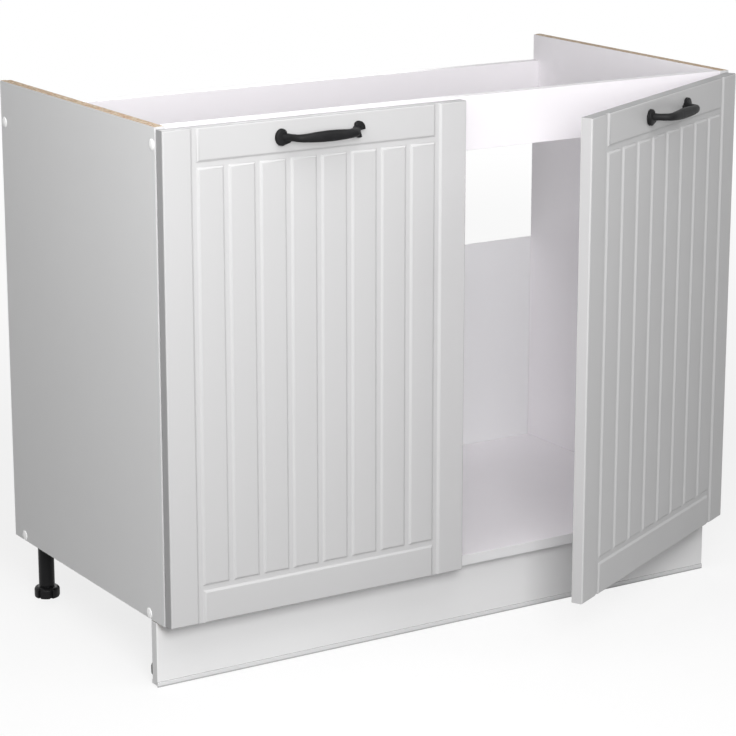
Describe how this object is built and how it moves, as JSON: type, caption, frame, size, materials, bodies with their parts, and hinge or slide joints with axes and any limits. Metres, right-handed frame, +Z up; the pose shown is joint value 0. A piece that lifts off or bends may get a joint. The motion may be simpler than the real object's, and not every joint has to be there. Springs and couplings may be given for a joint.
{
  "type": "sink base cabinet",
  "caption": "Open-topped kitchen base cabinet for a sink, with planked doors on concealed hinges, bow handles, a low back, adjustable legs and a clip-on plinth.",
  "frame": {"origin": "middle of the footprint on the floor, with the doors as they stand at rest", "axes": "+X to the right seen from the front, +Y to the back, +Z up; the doors face -Y"},
  "size_m": [1.0038, 0.742, 0.82],
  "materials": {
    "white_melamine": "white melamine-faced chipboard, satin",
    "white_door_foil": "white foil-wrapped fibreboard, silk gloss",
    "white_hardboard": "thin hardboard with a white lacquered face",
    "black_cast_metal": "matt black cast metal with a soft texture",
    "black_plastic": "moulded black plastic",
    "white_plastic": "moulded white plastic",
    "nickelled_steel": "pressed steel, nickel plated",
    "zinc_screw": "zinc plated steel"
  },
  "bodies": {
    "carcass": {"back_panel": "white_hardboard", "bottom_panel": "white_melamine", "cap_left_lower_front": "white_plastic", "cap_left_lower_rear": "white_plastic", "cap_left_upper_front": "white_plastic", "cap_left_upper_rear": "white_plastic", "cap_right_lower_front": "white_plastic", "cap_right_lower_rear": "white_plastic", "cap_right_upper_front": "white_plastic", "cap_right_upper_rear": "white_plastic", "front_rail": "white_melamine", "hinge_arm_left_lower": "nickelled_steel", "hinge_arm_left_upper": "nickelled_steel", "hinge_arm_right_lower": "nickelled_steel", "hinge_arm_right_upper": "nickelled_steel", "hinge_plate_left_lower": "nickelled_steel", "hinge_plate_left_upper": "nickelled_steel", "hinge_plate_right_lower": "nickelled_steel", "hinge_plate_right_upper": "nickelled_steel", "leg_front_left": "black_plastic", "leg_front_right": "black_plastic", "leg_rear_left": "black_plastic", "leg_rear_right": "black_plastic", "rear_rail": "white_melamine", "screw_left_lower_front": "zinc_screw", "screw_left_lower_rear": "zinc_screw", "screw_left_upper_front": "zinc_screw", "screw_left_upper_rear": "zinc_screw", "screw_right_lower_front": "zinc_screw", "screw_right_lower_rear": "zinc_screw", "screw_right_upper_front": "zinc_screw", "screw_right_upper_rear": "zinc_screw", "side_panel_left": "white_melamine", "side_panel_right": "white_melamine"},
    "door_left": {"door_left": "white_door_foil", "handle_left": "black_cast_metal", "hinge_cup_left_lower": "nickelled_steel", "hinge_cup_left_upper": "nickelled_steel"},
    "door_right": {"door_right": "white_door_foil", "handle_right": "black_cast_metal", "hinge_cup_right_lower": "nickelled_steel", "hinge_cup_right_upper": "nickelled_steel"},
    "foot_front_left": {"foot_front_left": "black_plastic"},
    "foot_front_right": {"foot_front_right": "black_plastic"},
    "foot_rear_left": {"foot_rear_left": "black_plastic"},
    "foot_rear_right": {"foot_rear_right": "black_plastic"},
    "inner_links_left": {"inner_link_left_lower": "nickelled_steel", "inner_link_left_upper": "nickelled_steel"},
    "inner_links_right": {"inner_link_right_lower": "nickelled_steel", "inner_link_right_upper": "nickelled_steel"},
    "outer_links_left": {"outer_link_left_lower": "nickelled_steel", "outer_link_left_upper": "nickelled_steel"},
    "outer_links_right": {"outer_link_right_lower": "nickelled_steel", "outer_link_right_upper": "nickelled_steel"},
    "plinth": {"plinth_board": "white_melamine", "plinth_clip_left": "black_plastic", "plinth_clip_right": "black_plastic", "plinth_edging": "white_plastic"}
  },
  "joints": [
    {"name": "outer_links_left_turn", "type": "hinge", "parent": "carcass", "child": "outer_links_left", "pos_m": [-0.4661, -0.11884, 0.454], "axis": [0, 0, -1], "range_deg": [-32.11, 0]},
    {"name": "door_left_turn", "type": "hinge", "parent": "outer_links_left", "child": "door_left", "pos_m": [-0.4885, -0.13374, 0.454], "axis": [0, 0, -1], "range_deg": [0, 127.11]},
    {"name": "inner_links_left_turn", "type": "hinge", "parent": "door_left", "child": "inner_links_left", "pos_m": [-0.4897, -0.13854, 0.454], "axis": [0, 0, -1], "range_deg": [-106.5, 0]},
    {"name": "outer_links_right_turn", "type": "hinge", "parent": "carcass", "child": "outer_links_right", "pos_m": [0.4661, -0.11884, 0.454], "axis": [0, 0, 1], "range_deg": [-22.99, 9.13]},
    {"name": "door_right_turn", "type": "hinge", "parent": "outer_links_right", "child": "door_right", "pos_m": [0.48585, -0.1371, 0.454], "axis": [0, 0, 1], "range_deg": [-36.13, 90.98]},
    {"name": "inner_links_right_turn", "type": "hinge", "parent": "door_right", "child": "inner_links_right", "pos_m": [0.4891, -0.14083, 0.454], "axis": [0, 0, 1], "range_deg": [-76.23, 30.27]},
    {"name": "foot_front_left_height", "type": "slide", "parent": "carcass", "child": "foot_front_left", "axis": [0, 0, -1], "range_m": [0, 0.02]},
    {"name": "foot_front_right_height", "type": "slide", "parent": "carcass", "child": "foot_front_right", "axis": [0, 0, -1], "range_m": [0, 0.02]},
    {"name": "foot_rear_left_height", "type": "slide", "parent": "carcass", "child": "foot_rear_left", "axis": [0, 0, -1], "range_m": [0, 0.02]},
    {"name": "foot_rear_right_height", "type": "slide", "parent": "carcass", "child": "foot_rear_right", "axis": [0, 0, -1], "range_m": [0, 0.02]},
    {"name": "plinth_pull", "type": "slide", "parent": "carcass", "child": "plinth", "axis": [0, -1, 0], "range_m": [0, 0.06]}
  ],
  "couplings": [
    {"joint": "outer_links_left_turn", "follows": "door_left_turn", "ratio": -0.25262},
    {"joint": "inner_links_left_turn", "follows": "door_left_turn", "ratio": -0.83782},
    {"joint": "outer_links_right_turn", "follows": "door_right_turn", "ratio": -0.25262},
    {"joint": "inner_links_right_turn", "follows": "door_right_turn", "ratio": -0.83782}
  ]
}
